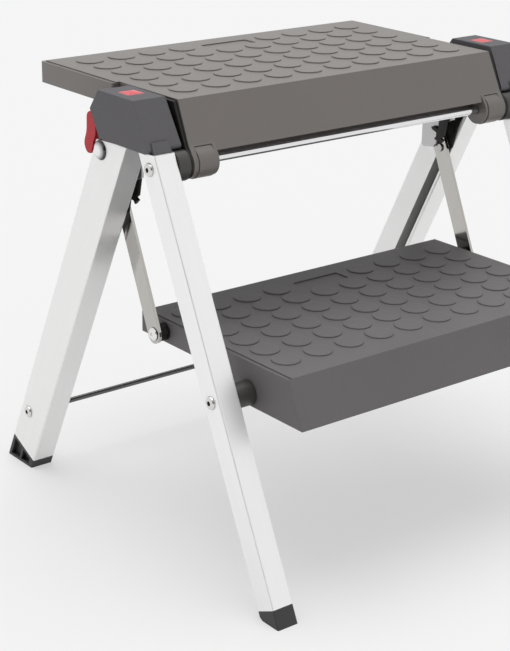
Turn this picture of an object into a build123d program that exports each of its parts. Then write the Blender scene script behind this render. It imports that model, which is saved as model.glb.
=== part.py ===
from build123d import *
import os
from math import asin, atan2, cos, degrees, hypot, radians, sin, tan

# Folding step stool: two moulded treads between two pairs of aluminium legs.
# X runs across the stool, the user climbs from -Y, Z is up and the floor is Z = 0.
# The right-hand piece of each pair is modelled and the left one is its mirror image.

os.makedirs("parts", exist_ok=True)

# ---------------------------------------------------------------- driving sizes
STOOL_HEIGHT = 440.0       # floor to the top of the deck
FOOT_SPAN = 473.5          # front toe to rear heel
FRAME_HALF = 243.0         # middle to the outer face of a leg
FRONT_LEAN = 25.3          # degrees from upright; the rear legs' lean follows from the span

FRONT_TUBE_WIDE = 23.4     # leg tubes, across X and along the lean's normal
FRONT_TUBE_DEEP = 24.0
REAR_TUBE_WIDE = 25.6
REAR_TUBE_DEEP = 44.0
TUBE_WALL = 1.8
TUBE_CORNER = 1.6
SLOT_WIDTH = 12.0          # track along the inner face of a rear leg
SLOT_CENTRE = 9.8          # from the rear leg's front face

FRONT_TUBE_LIFT = 17.0     # height of a tube's cut end at its front edge
REAR_TUBE_LIFT = 10.0
FOOT_PLUG = 24.0           # how far a foot's plug goes up its tube
FOOT_BEVEL = 3.0
FOOT_POCKET = 5.0          # depth of the pockets in a rear foot's outer side
FOOT_POCKETS = ((7.0, 21.0), (24.0, 39.0))     # their reach, back from the front face
FOOT_SOLE = 3.5

CAP_STEP = 3.0             # cap's top above the deck
CAP_DROP = 42.6            # deck's top to the cap's lower edge
CAP_PROUD = 3.6            # cap's outer face beyond the legs
CAP_ROOM = 3.9             # cap's inner wall to the rear leg's end, which leaves room for the pivot plate
CAP_DRAFT = 2.5            # the cap's inner side leans out to its top
CAP_WALL = 2.5
CAP_ROUND = 0.8
CAP_CHIN = 4.0             # rounding of the cap's lower front edge
CAP_FRONT_BASE = 2.8       # cap's front behind the legs' front faces, at its foot and top
CAP_FRONT_TOP = 5.6
CAP_SOLID_BACK = 30.0      # solid head's depth behind the front face
CAP_SPIGOT = 33.0          # spigot's length, a third of it below the hinge rod
MARKER_SIZE = 18.0
MARKER_SEAT = 1.2          # depth of the marker's seat in the cap
MARKER_TALL = 1.4
MARKER_FLAT = 1.0          # width left at the marker's peak

HINGE_DROP = 56.7          # hinge rod below the deck's front edge, along the leg
HINGE_BACK = 13.0          # and behind the leg's front face
ROD_RADIUS = 4.0
KNUCKLE_RADIUS = 15.4
CHEEK_RADIUS = 14.6
OUTER_CHEEK = 5.4          # deck's hinge cheeks, beside the clips
INNER_CHEEK = 3.3
CLIP_WIDE = 19.4
CLIP_UP = 12.0             # top of a clip's seat above the rod, up the leg
CLIP_DEEP = 26.0           # clips' and cheeks' depth behind the legs' front faces
LIP_BACK = 7.2             # deck's lip behind the rod: its front face and its foot, from the rod's middle
LIP_UP = 0.8
ARM_THICK = 3.0            # black arms beside the deck, round the rod's ends
ARM_BACK = 24.0            # how far an arm goes back from the deck's front
ARM_INSET = 1.5            # arm's front and top edges inside the deck's

DECK_DEPTH = 225.2         # front edge of the top to the rear edge
DECK_SLAB = 22.0
DECK_BOX_TALL = 47.0       # height of the deep front part
DECK_BOX_DEEP = 46.0
DECK_BOX_SLOPE = 16.0      # slope at the back of the deep front part
DECK_FRONT_BACK = 0.9      # deck's front face behind the legs' front faces
DECK_SIDE_GAP = 5.5        # deck's side to the cap, at the foot of the front part
DECK_SIDE_DRAFT = 1.5
DECK_REAR_WIDER = 6.4      # rear part's side outside the front part's
DECK_NOTCH_BACK = 130.6    # rear edge to the notch in the deck's side
DECK_CORNER = 3.0

STEP_TOP = 218.3
STEP_DEPTH = 227.3
STEP_SLAB = 22.3
STEP_BOX = 43.7
STEP_BOX_DEEP = 86.0
STEP_BOX_SLOPE = 14.0
STEP_PIVOT_DROP = 31.2     # step's pivot below its top
STEP_FRONT_AHEAD = 57.0    # step's top front edge ahead of its pivot
STEP_BOSS = (11.0, 8.0)    # radii of the bosses at the front and rear pivots
STEP_BOSS_LONG = 16.0
STEP_SPACER_RADIUS = 12.0

TREAD_WALL = 3.2
TREAD_SKIN = 3.4
RIB = 2.4
RIB_COLUMNS = 9
DECK_RIB_ROWS = (2, 3)     # in front of the notch and behind it
STEP_RIB_ROWS = 5
RIM_WIDE = 4.0             # stepped rim along the rear and side edges
RIM_DEEP = 1.0
BADGE_SIZE = (60.0, 21.0)
BADGE_DEEP = 1.0
BADGE_CORNER = 3.0
DECK_BADGE_BACK = 38.0     # rear edge to the middle of the recess
STEP_BADGE_BACK = 36.5

REAR_PIVOT_IN = 33.1       # rear leg's pivot behind its front face
REAR_PIVOT_RADIUS = 4.6
REAR_TOP = (29.0, 5.0)     # rear leg's end above its pivot, at the tube's front and rear
PLATE_THICK = 1.5
PLATE_LUG = 11.0
PLATE_TIP_RADIUS = 2.4

LINK_WIDE = 19.4
LINK_THICK = 3.0
LINK_GAP = 2.0             # link to the pivot plate
LINK_FROM_REAR = 39.0      # link's lower pivot ahead of the step's rear edge
LINK_OVERRUN = 9.5         # extra length of the link past its upper pin
LINK_SPACER_RADIUS = 8.6
PIN_DROP = 61.6            # slot pin below the rear pivot, along the rear leg
PIN_OFF_TRACK = 0.9        # slot pin behind the middle of the track
PIN_RADIUS = 3.2
PIN_HEAD_RADIUS = 4.4
PIN_HEAD_TALL = 2.0
RIVET_HEAD_RADIUS = 6.6
RIVET_HEAD_TALL = 2.6

BRACKET_THICK = 2.5
BRACKET_SEAT = 0.6         # gap round the slot pin's head
BRACKET_FLANGE = 20.0
BRACKET_CORNER = 4.0
HOOK_THICK = 2.8
HOOK_EYE = 7.0
HOOK_PIN_RADIUS = 2.5
HOOK_PIN_HEAD = 4.2
HOOK_PIN_TALL = 1.5
HOOK_TO_STEP = 2.4         # hook to the side of the folded step

LEVER_INSET = 2.4          # lever's outer side inside the legs' outer faces
LEVER_WIDE = 9.4
LEVER_EYE = 4.2
LEVER_PIN_RADIUS = 2.0
LEVER_PIN_SEAT = 5.0       # lever pin's reach into the cap, beyond the lever's inner side

CROSSBAR_RADIUS = 2.9
CROSSBAR_UP = 58.9         # up the rear leg from the floor, along its front face
CROSSBAR_BACK = 30.1

BOLT_HEAD_RADIUS = 6.4
BOLT_HEAD_TALL = 2.8
BOLT_HOLD = 12.0           # thread's reach into what a bolt holds
DOME_RADIUS = 9.4
DOME_TALL = 5.0
HEAD_EDGE = 0.8            # upright rim left under a rounded head
SHAFT_RADIUS = 3.6
THREAD_RADIUS = 2.8

SEAT = 0.3                 # gap kept between pieces that only face each other
RUNNING = 0.06             # radial clearance of a shaft that turns in its hole
OVER = 1.0                 # cutting tools run this far past the surfaces they cut

# ---------------------------------------------------------------- derived places
FRONT_TOE = -FOOT_SPAN / 2
FRONT_UP = (sin(radians(FRONT_LEAN)), cos(radians(FRONT_LEAN)))
FRONT_BACK = (cos(radians(FRONT_LEAN)), -sin(radians(FRONT_LEAN)))
FRONT_INNER = FRAME_HALF - FRONT_TUBE_WIDE
REAR_INNER = FRAME_HALF - REAR_TUBE_WIDE


def on_front_leg(up, back):
    """(Y, Z) of a point on the front leg: up the leg from its toe, back from its front face."""
    return (FRONT_TOE + up * FRONT_UP[0] + back * FRONT_BACK[0], up * FRONT_UP[1] + back * FRONT_BACK[1])


def front_face_y(height, back=0.0):
    """Y of the plane that lies the given distance behind the front legs' front faces."""
    return FRONT_TOE + height * tan(radians(FRONT_LEAN)) + back / cos(radians(FRONT_LEAN))


def from_head(back, down):
    """(Y, Z) of a point measured from where the front legs' faces meet the deck's top."""
    return (front_face_y(STOOL_HEIGHT) + back, STOOL_HEIGHT - down)


# rear legs: their lean is what brings the pivot's line through the heel
REAR_PIVOT = from_head(67.4, 55.1)
HEEL_TO_PIVOT = hypot(FOOT_SPAN / 2 - REAR_PIVOT[0], REAR_PIVOT[1])
REAR_LEAN = (degrees(atan2(FOOT_SPAN / 2 - REAR_PIVOT[0], REAR_PIVOT[1]))
             - degrees(asin((REAR_TUBE_DEEP - REAR_PIVOT_IN) / HEEL_TO_PIVOT)))
REAR_TOE = FOOT_SPAN / 2 - REAR_TUBE_DEEP / cos(radians(REAR_LEAN))
REAR_UP = (-sin(radians(REAR_LEAN)), cos(radians(REAR_LEAN)))
REAR_BACK = (cos(radians(REAR_LEAN)), sin(radians(REAR_LEAN)))
REAR_PIVOT_UP = (REAR_PIVOT[0] - REAR_TOE) * REAR_UP[0] + REAR_PIVOT[1] * REAR_UP[1]


def on_rear_leg(up, back):
    """(Y, Z) of a point on the rear leg: up the leg from its toe, back from its front face."""
    return (REAR_TOE + up * REAR_UP[0] + back * REAR_BACK[0], up * REAR_UP[1] + back * REAR_BACK[1])


HINGE_UP = STOOL_HEIGHT / cos(radians(FRONT_LEAN)) - HINGE_DROP
HINGE = on_front_leg(HINGE_UP, HINGE_BACK)
STEP_PIVOT_UP = (STEP_TOP - STEP_PIVOT_DROP + FRONT_TUBE_DEEP / 2 * FRONT_UP[0]) / FRONT_UP[1]
STEP_PIVOT = on_front_leg(STEP_PIVOT_UP, FRONT_TUBE_DEEP / 2)
SLOT_PIN = on_rear_leg(REAR_PIVOT_UP - PIN_DROP, SLOT_CENTRE + PIN_OFF_TRACK)
CROSSBAR = on_rear_leg(CROSSBAR_UP, CROSSBAR_BACK)

DECK_FRONT = front_face_y(STOOL_HEIGHT, DECK_FRONT_BACK)
DECK_REAR = DECK_FRONT + DECK_DEPTH
DECK_NOTCH = DECK_REAR - DECK_NOTCH_BACK
DECK_UNDER = STOOL_HEIGHT - DECK_SLAB
DECK_BOX_BASE = STOOL_HEIGHT - DECK_BOX_TALL
STEP_FRONT = STEP_PIVOT[0] - STEP_FRONT_AHEAD
STEP_REAR = STEP_FRONT + STEP_DEPTH
STEP_BOX_REAR = STEP_FRONT + STEP_BOX_DEEP
STEP_UNDER = STEP_TOP - STEP_SLAB
STEP_BASE = STEP_TOP - STEP_BOX
LINK_PIVOT = (STEP_REAR - LINK_FROM_REAR, STEP_TOP - STEP_SLAB / 2)

# places across the stool, from the rear leg's inner side to the step's side
PLATE_INNER = REAR_INNER - SEAT - PLATE_THICK
LINK_INNER = PLATE_INNER - LINK_GAP - LINK_THICK
BRACKET_INNER = LINK_INNER - PIN_HEAD_TALL - BRACKET_SEAT - BRACKET_THICK
BRACKET_OUTER = BRACKET_INNER + BRACKET_THICK
HOOK_INNER = BRACKET_INNER - SEAT - HOOK_THICK
STEP_HALF = HOOK_INNER - HOOK_TO_STEP
CAP_OUTER = FRAME_HALF + CAP_PROUD
CAP_HOLLOW_INNER = REAR_INNER - CAP_ROOM
CAP_HOLLOW_OUTER = CAP_OUTER - CAP_WALL
CAP_INNER = CAP_HOLLOW_INNER - CAP_WALL - CAP_DRAFT
DECK_FRONT_HALF = CAP_INNER - DECK_SIDE_GAP
DECK_REAR_HALF = DECK_FRONT_HALF + DECK_REAR_WIDER
ARM_OUTER = DECK_FRONT_HALF + ARM_THICK
CLIP_OUTER = DECK_FRONT_HALF - OUTER_CHEEK - SEAT
CLIP_INNER = CLIP_OUTER - CLIP_WIDE
CHEEK_INNER = CLIP_INNER - SEAT - INNER_CHEEK
LEVER_OUTER = FRAME_HALF - LEVER_INSET
LEVER_INNER = LEVER_OUTER - LEVER_WIDE

# corner cap
CAP_TOP = STOOL_HEIGHT + CAP_STEP
CAP_BASE = STOOL_HEIGHT - CAP_DROP
CAP_NOSE = from_head(78.7, 16.7)
CAP_HEEL = from_head(63.6, CAP_DROP)
CAP_CROWN = from_head(64.3, -CAP_STEP)
MARKER_CENTRE = (FRAME_HALF - 15.0, from_head(37.3, 0)[0])

# pivot plate: its root lies in the cap's head, two arms run down past the rear leg's pivot to one tip
PLATE_ROOT = [on_front_leg(HINGE_UP + 22, 12), on_front_leg(HINGE_UP + 44, 12), from_head(58.8, 8),
              from_head(58.8, 36), from_head(34.8, 38)]
PLATE_ARMS = [from_head(42.4, 42), from_head(41.8, 30), from_head(68.8, 30), from_head(80.5, 91)]
PLATE_WINDOW = [from_head(67.7, 98), from_head(68.5, 73), from_head(56.5, 73)]
PLATE_TIP = from_head(62.3, 117.2)

# release lever: an eye on a pin inside the cap, and a paddle that hangs behind it
LEVER_PIVOT = from_head(72.3, 24.5)
LEVER_FRONT = [from_head(72.3, 28.4), from_head(79, 35), from_head(79.2, 42), from_head(83, 50),
               from_head(85.8, 59), from_head(88.8, 63)]
LEVER_BACK = [from_head(72.3, 20.6), from_head(85.8, 21.2), from_head(92.4, 24.6), from_head(94, 35),
              from_head(96, 46), from_head(98.6, 54), from_head(96.6, 60), from_head(92.8, 63)]

# latch bracket and hook: an eye, a narrow neck, a prong to the rear and a claw below
BRACKET_FRONT = from_head(50.8, 0)[0]
BRACKET_REAR = DECK_NOTCH + 2.7
BRACKET_PROFILE = [(BRACKET_FRONT, DECK_UNDER), from_head(50.8, 84), from_head(69, 92),
                   (SLOT_PIN[0] + 2, SLOT_PIN[1] + 16.3), (SLOT_PIN[0] + 2, SLOT_PIN[1] + 1.1),
                   (BRACKET_REAR, SLOT_PIN[1] - 2.4), (BRACKET_REAR, DECK_UNDER)]
HOOK_PIVOT = from_head(62.5, 75)
HOOK_PROFILE = [from_head(56, 77), from_head(61.5, 104), from_head(65.5, 107), from_head(61.5, 109),
                from_head(67, 114), from_head(69, 111), from_head(76, 110), from_head(73, 106),
                from_head(73, 102), from_head(80, 99.5), from_head(81.5, 97), from_head(77, 95.5),
                from_head(70.5, 98), from_head(69, 77)]

LINK_LENGTH = hypot(SLOT_PIN[0] - LINK_PIVOT[0], SLOT_PIN[1] - LINK_PIVOT[1])
LINK_END = (SLOT_PIN[0] + (SLOT_PIN[0] - LINK_PIVOT[0]) * LINK_OVERRUN / LINK_LENGTH,
            SLOT_PIN[1] + (SLOT_PIN[1] - LINK_PIVOT[1]) * LINK_OVERRUN / LINK_LENGTH)


def save(solid, name):
    """Label a finished piece and write it under its node's name."""
    solid.label = name
    export_step(solid, f"parts/{name}.step")


def save_pair(solid, name):
    """Write the right-hand piece and its mirror image for the left."""
    save(solid, f"{name}_right")
    save(mirror(solid, about=Plane.YZ), f"{name}_left")


def side_plane(x):
    """Sketch plane across X: local x is the stool's Y and local y is its Z."""
    return Plane.YZ.offset(x)


def front_leg_plane(up):
    """Plane square to the front legs: local x is X and local y runs back from the front face."""
    y, z = on_front_leg(up, 0)
    return Plane(origin=(0, y, z), x_dir=(1, 0, 0), z_dir=(0, *FRONT_UP))


def rear_leg_plane(up):
    """Plane square to the rear legs: local x is X and local y runs back from the front face."""
    y, z = on_rear_leg(up, 0)
    return Plane(origin=(0, y, z), x_dir=(1, 0, 0), z_dir=(0, *REAR_UP))


def outline(points, mode=Mode.ADD):
    """Straight-sided face through the points, added to or cut from the sketch that is open."""
    Polygon(*points, align=None, mode=mode)


def shaft(centre, radius, x_from, x_to, mode=Mode.ADD):
    """Round bar along X through a (Y, Z) point, added to or cut from the part that is open."""
    with Locations(Location((x_from, *centre), (0, 90, 0))):
        Cylinder(radius, x_to - x_from, align=(Align.CENTER, Align.CENTER, Align.MIN), mode=mode)


def capsule(start, end, radius):
    """Two equal discs and the flat between them, in the side sketch that is open."""
    with Locations(start):
        Circle(radius)
    with Locations(end):
        Circle(radius)
    make_hull()


# ---------------------------------------------------------------- front legs
CAP_SEAT = 0.1             # the tubes' cut ends under the caps
FRONT_CUT = FRONT_TUBE_LIFT / cos(radians(FRONT_LEAN))
FRONT_MIDDLE = FRAME_HALF - FRONT_TUBE_WIDE / 2
FRONT_LENGTH = STOOL_HEIGHT / cos(radians(FRONT_LEAN)) - FRONT_CUT

with BuildPart() as front_leg:
    with BuildSketch(front_leg_plane(FRONT_CUT)):
        with Locations((FRONT_MIDDLE, FRONT_TUBE_DEEP / 2)):
            RectangleRounded(FRONT_TUBE_WIDE, FRONT_TUBE_DEEP, TUBE_CORNER)
            Rectangle(FRONT_TUBE_WIDE - 2 * TUBE_WALL, FRONT_TUBE_DEEP - 2 * TUBE_WALL, mode=Mode.SUBTRACT)
    extrude(amount=FRONT_LENGTH)
    # the top is mitred level with the cap's lower edge
    split(bisect_by=Plane.XY.offset(CAP_BASE - CAP_SEAT), keep=Keep.BOTTOM)
    shaft(HINGE, SHAFT_RADIUS + RUNNING, FRONT_INNER - OVER, FRAME_HALF + OVER, Mode.SUBTRACT)
    shaft(STEP_PIVOT, SHAFT_RADIUS + RUNNING, FRONT_INNER - OVER, FRAME_HALF + OVER, Mode.SUBTRACT)
save_pair(front_leg.part, "front_leg")

# ---------------------------------------------------------------- rear legs
REAR_CUT = REAR_TUBE_LIFT / cos(radians(REAR_LEAN))
REAR_MIDDLE = FRAME_HALF - REAR_TUBE_WIDE / 2
REAR_CUT_FRONT = REAR_PIVOT_UP + REAR_TOP[0]
REAR_CUT_BACK = REAR_PIVOT_UP + REAR_TOP[1]
REAR_WEB = SLOT_CENTRE + SLOT_WIDTH / 2 + TUBE_WALL        # wall between the track and the main bore
REAR_HOLLOW = REAR_TUBE_DEEP - TUBE_WALL - REAR_WEB

with BuildPart() as rear_leg:
    with BuildSketch(rear_leg_plane(REAR_CUT)):
        with Locations((REAR_MIDDLE, REAR_TUBE_DEEP / 2)):
            RectangleRounded(REAR_TUBE_WIDE, REAR_TUBE_DEEP, TUBE_CORNER)
        with Locations((REAR_MIDDLE, (REAR_WEB + REAR_TUBE_DEEP - TUBE_WALL) / 2)):
            Rectangle(REAR_TUBE_WIDE - 2 * TUBE_WALL, REAR_HOLLOW, mode=Mode.SUBTRACT)
        with Locations((REAR_MIDDLE - TUBE_WALL, SLOT_CENTRE)):
            Rectangle(REAR_TUBE_WIDE, SLOT_WIDTH, mode=Mode.SUBTRACT)
    extrude(amount=REAR_CUT_FRONT - REAR_CUT)
    # oblique top end, kept clear of the cap as the leg swings
    with BuildSketch(side_plane(REAR_INNER - OVER)):
        outline([on_rear_leg(REAR_CUT_FRONT, 0), on_rear_leg(REAR_CUT_FRONT + OVER, -OVER),
                 on_rear_leg(REAR_CUT_FRONT + OVER, REAR_TUBE_DEEP + OVER),
                 on_rear_leg(REAR_CUT_BACK, REAR_TUBE_DEEP)])
    extrude(amount=REAR_TUBE_WIDE + 2 * OVER, mode=Mode.SUBTRACT)
    shaft(REAR_PIVOT, REAR_PIVOT_RADIUS + RUNNING, REAR_INNER - OVER, FRAME_HALF + OVER, Mode.SUBTRACT)
    shaft(CROSSBAR, CROSSBAR_RADIUS, REAR_INNER - OVER, FRAME_HALF + OVER, Mode.SUBTRACT)
save_pair(rear_leg.part, "rear_leg")

# ---------------------------------------------------------------- feet
with BuildPart() as front_foot:
    with BuildSketch(front_leg_plane(FRONT_CUT)):
        with Locations((FRONT_MIDDLE, FRONT_TUBE_DEEP / 2)):
            RectangleRounded(FRONT_TUBE_WIDE, FRONT_TUBE_DEEP, TUBE_CORNER)
    extrude(amount=-FRONT_TUBE_DEEP - FRONT_CUT)
    split(bisect_by=Plane.XY, keep=Keep.TOP)
    with BuildSketch(side_plane(FRONT_INNER - OVER)):
        heel = FRONT_TOE + FRONT_TUBE_DEEP / cos(radians(FRONT_LEAN))
        outline([(heel + OVER, -OVER), (heel + OVER, FOOT_BEVEL), (heel - 2 * FOOT_BEVEL, -OVER)])
    extrude(amount=FRONT_TUBE_WIDE + 2 * OVER, mode=Mode.SUBTRACT)
    with BuildSketch(front_leg_plane(FRONT_CUT)):
        with Locations((FRONT_MIDDLE, FRONT_TUBE_DEEP / 2)):
            Rectangle(FRONT_TUBE_WIDE - 2 * TUBE_WALL - SEAT, FRONT_TUBE_DEEP - 2 * TUBE_WALL - SEAT)
    extrude(amount=FOOT_PLUG)
save_pair(front_foot.part, "front_foot")

with BuildPart() as rear_foot:
    with BuildSketch(rear_leg_plane(REAR_CUT)):
        with Locations((REAR_MIDDLE, REAR_TUBE_DEEP / 2)):
            RectangleRounded(REAR_TUBE_WIDE, REAR_TUBE_DEEP, TUBE_CORNER)
    extrude(amount=-REAR_TUBE_DEEP - REAR_CUT)
    split(bisect_by=Plane.XY, keep=Keep.TOP)
    # two open pockets in the outer side, with a rib between them
    with BuildSketch(side_plane(FRAME_HALF)):
        for low, high in FOOT_POCKETS:
            floor_low = low * tan(radians(REAR_LEAN))
            floor_high = high * tan(radians(REAR_LEAN))
            outline([on_rear_leg(REAR_CUT - FOOT_SOLE, low), on_rear_leg(REAR_CUT - FOOT_SOLE, high),
                     on_rear_leg(FOOT_SOLE - floor_high, high), on_rear_leg(FOOT_SOLE - floor_low, low)])
    extrude(amount=-FOOT_POCKET, mode=Mode.SUBTRACT)
    with BuildSketch(rear_leg_plane(REAR_CUT)):
        with Locations((REAR_MIDDLE, (REAR_WEB + REAR_TUBE_DEEP - TUBE_WALL) / 2)):
            Rectangle(REAR_TUBE_WIDE - 2 * TUBE_WALL - SEAT, REAR_HOLLOW - SEAT)
    extrude(amount=FOOT_PLUG)
save_pair(rear_foot.part, "rear_foot")

# ---------------------------------------------------------------- corner caps
# Moulded heads on the front legs: the rear legs' ends swing in the hollow behind the spigot.
CAP_PROFILE = [(front_face_y(CAP_BASE, CAP_FRONT_BASE), CAP_BASE),
               (front_face_y(CAP_TOP, CAP_FRONT_TOP), CAP_TOP), CAP_CROWN, CAP_NOSE, CAP_HEEL]
CAP_CEILING = CAP_TOP - CAP_WALL - OVER
CAP_HOLLOW = [(front_face_y(CAP_BASE - OVER, CAP_SOLID_BACK), CAP_BASE - OVER),
              (front_face_y(CAP_CEILING, CAP_SOLID_BACK), CAP_CEILING),
              (CAP_CROWN[0] - CAP_WALL, CAP_CEILING), (CAP_NOSE[0] - 2 * CAP_WALL, CAP_NOSE[1]),
              (CAP_HEEL[0] - CAP_WALL, CAP_BASE - OVER)]
CAP_DOOR = [(CAP_HEEL[0] - 2 * CAP_WALL, CAP_BASE - OVER),
            (CAP_NOSE[0] - 3 * CAP_WALL, CAP_NOSE[1] - CAP_WALL),
            (CAP_NOSE[0] + OVER, CAP_NOSE[1] - CAP_WALL / 2), (CAP_NOSE[0] + OVER, CAP_BASE - OVER)]

with BuildPart() as side_cap:
    with BuildSketch(side_plane(CAP_INNER)):
        outline(CAP_PROFILE)
        fillet(vertices().sort_by(Axis.X)[0], CAP_CHIN)
    extrude(amount=CAP_OUTER - CAP_INNER)
    # the inner side leans out towards the top
    with BuildSketch(Plane.XZ.offset(-CAP_NOSE[0] - OVER)):
        outline([(CAP_INNER - OVER, CAP_BASE), (CAP_INNER, CAP_BASE), (CAP_INNER + CAP_DRAFT, CAP_TOP),
                 (CAP_INNER + CAP_DRAFT, CAP_TOP + OVER), (CAP_INNER - OVER, CAP_TOP + OVER)])
    extrude(amount=DECK_DEPTH, mode=Mode.SUBTRACT)
    fillet(side_cap.faces().sort_by(Axis.Z)[-1].edges(), CAP_ROUND)
    # hollow, open below; its lower rear side is open to the rear leg's end and the lever
    with BuildSketch(side_plane(CAP_HOLLOW_INNER)):
        outline(CAP_HOLLOW)
        outline(CAP_DOOR)
    extrude(amount=CAP_HOLLOW_OUTER - CAP_HOLLOW_INNER, mode=Mode.SUBTRACT)
    # spigot down the front leg's tube
    with BuildSketch(front_leg_plane(HINGE_UP - CAP_SPIGOT / 3)):
        with Locations((FRONT_MIDDLE, FRONT_TUBE_DEEP / 2)):
            Rectangle(FRONT_TUBE_WIDE - 2 * TUBE_WALL - SEAT, FRONT_TUBE_DEEP - 2 * TUBE_WALL - SEAT)
    extrude(amount=CAP_SPIGOT)
    shaft(HINGE, SHAFT_RADIUS + RUNNING, FRONT_INNER, FRAME_HALF, Mode.SUBTRACT)
    # slot for the pivot plate, seat for the marker, holes for the lever's pin
    with BuildSketch(side_plane(PLATE_INNER)):
        outline(PLATE_ROOT)
    extrude(amount=PLATE_THICK, mode=Mode.SUBTRACT)
    with BuildSketch(Plane.XY.offset(CAP_TOP - MARKER_SEAT)):
        with Locations(MARKER_CENTRE):
            Rectangle(MARKER_SIZE, MARKER_SIZE)
    extrude(amount=2 * MARKER_SEAT, mode=Mode.SUBTRACT)
    shaft(LEVER_PIVOT, LEVER_PIN_RADIUS, LEVER_INNER - LEVER_PIN_SEAT - OVER, CAP_OUTER - OVER, Mode.SUBTRACT)
save_pair(side_cap.part, "side_cap")

# Square peaked marker let into the top of each cap.
with BuildPart() as cap_marker:
    with BuildSketch(Plane.XY.offset(CAP_TOP - MARKER_SEAT)):
        with Locations(MARKER_CENTRE):
            Rectangle(MARKER_SIZE, MARKER_SIZE)
    extrude(amount=MARKER_SEAT)
    with BuildSketch(Plane.XY.offset(CAP_TOP)):
        with Locations(MARKER_CENTRE):
            Rectangle(MARKER_SIZE, MARKER_SIZE)
    with BuildSketch(Plane.XY.offset(CAP_TOP + MARKER_TALL)):
        with Locations(MARKER_CENTRE):
            Rectangle(MARKER_FLAT, MARKER_FLAT)
    loft()
save_pair(cap_marker.part, "cap_marker")

# ---------------------------------------------------------------- rear leg pivots
# Plate set in the cap, reaching down inside the rear leg's end to hold its pivot.
with BuildPart() as pivot_plate:
    with BuildSketch(side_plane(PLATE_INNER)):
        outline(PLATE_ROOT)
        with BuildSketch(mode=Mode.ADD):
            with Locations(REAR_PIVOT):
                Circle(PLATE_LUG)
            with Locations(PLATE_TIP):
                Circle(PLATE_TIP_RADIUS)
            outline(PLATE_ARMS)
            make_hull()
        outline(PLATE_WINDOW, Mode.SUBTRACT)
    extrude(amount=PLATE_THICK)
    shaft(REAR_PIVOT, REAR_PIVOT_RADIUS, PLATE_INNER - OVER, REAR_INNER, Mode.SUBTRACT)
save_pair(pivot_plate.part, "pivot_plate")

with BuildPart() as rear_pivot:
    shaft(REAR_PIVOT, REAR_PIVOT_RADIUS, PLATE_INNER, FRAME_HALF + SEAT)
    shaft(REAR_PIVOT, DOME_RADIUS, FRAME_HALF + SEAT, FRAME_HALF + DOME_TALL)
    dome_rim = rear_pivot.edges().filter_by(GeomType.CIRCLE).sort_by(Axis.X)[-1]
    chamfer(dome_rim, DOME_TALL - HEAD_EDGE, DOME_TALL)
save_pair(rear_pivot.part, "rear_pivot")

# ---------------------------------------------------------------- release levers
with BuildPart() as release_lever:
    with BuildSketch(side_plane(LEVER_OUTER)):
        with BuildLine():
            Spline(LEVER_FRONT)
            Spline(LEVER_BACK)
            Line(LEVER_FRONT[-1], LEVER_BACK[-1])
            Line(LEVER_FRONT[0], LEVER_BACK[0])
        make_face()
        with Locations(LEVER_PIVOT):
            Circle(LEVER_EYE)
    extrude(amount=-LEVER_WIDE)
    shaft(LEVER_PIVOT, LEVER_PIN_RADIUS + RUNNING, LEVER_INNER - OVER, LEVER_OUTER + OVER, Mode.SUBTRACT)
save_pair(release_lever.part, "release_lever")

with BuildPart() as lever_pin:
    shaft(LEVER_PIVOT, LEVER_PIN_RADIUS, LEVER_INNER - LEVER_PIN_SEAT, CAP_OUTER - OVER)
save_pair(lever_pin.part, "lever_pin")

# ---------------------------------------------------------------- hinge across the front
with BuildPart() as hinge_rod:
    shaft(HINGE, ROD_RADIUS, -FRONT_INNER, FRONT_INNER)
    for end in (-FRONT_INNER, FRONT_INNER - BOLT_HOLD):
        shaft(HINGE, THREAD_RADIUS, end, end + BOLT_HOLD, Mode.SUBTRACT)
save(hinge_rod.part, "hinge_rod")

with BuildPart() as hinge_boss:
    shaft(HINGE, KNUCKLE_RADIUS, ARM_OUTER + SEAT, FRONT_INNER)
    shaft(HINGE, ROD_RADIUS, ARM_OUTER, FRONT_INNER + OVER, Mode.SUBTRACT)
    split(bisect_by=Plane.XY.offset(CAP_BASE - CAP_SEAT), keep=Keep.BOTTOM)
    chamfer(hinge_boss.edges().filter_by(GeomType.CIRCLE).filter_by(
        lambda edge: edge.radius > ROD_RADIUS + OVER), HEAD_EDGE)
save_pair(hinge_boss.part, "hinge_boss")


def bolt_head(centre):
    """Low button head on the outer face of a leg."""
    shaft(centre, BOLT_HEAD_RADIUS, FRAME_HALF, FRAME_HALF + BOLT_HEAD_TALL)
    chamfer(edges().filter_by(GeomType.CIRCLE).sort_by(Axis.X)[-1], BOLT_HEAD_TALL - HEAD_EDGE)


def bolt(centre, thread_to):
    """Button-headed bolt from outside a leg, through it to thread_to."""
    bolt_head(centre)
    shaft(centre, SHAFT_RADIUS, FRONT_INNER, FRAME_HALF)
    shaft(centre, THREAD_RADIUS, thread_to, FRONT_INNER)


with BuildPart() as hinge_bolt:
    bolt(HINGE, FRONT_INNER - BOLT_HOLD)
save_pair(hinge_bolt.part, "hinge_bolt")

# ---------------------------------------------------------------- deck
DECK_BOX_REAR = DECK_FRONT + DECK_BOX_DEEP
CLIP_TOP = HINGE_UP + CLIP_UP
DECK_SLOPE_FOOT = DECK_BOX_REAR - DECK_BOX_SLOPE
DECK_PROFILE = [(DECK_FRONT, STOOL_HEIGHT), (front_face_y(DECK_BOX_BASE, DECK_FRONT_BACK), DECK_BOX_BASE),
                (DECK_SLOPE_FOOT, DECK_BOX_BASE), (DECK_BOX_REAR, DECK_UNDER),
                (DECK_NOTCH, DECK_UNDER), (DECK_NOTCH, STOOL_HEIGHT)]


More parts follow.
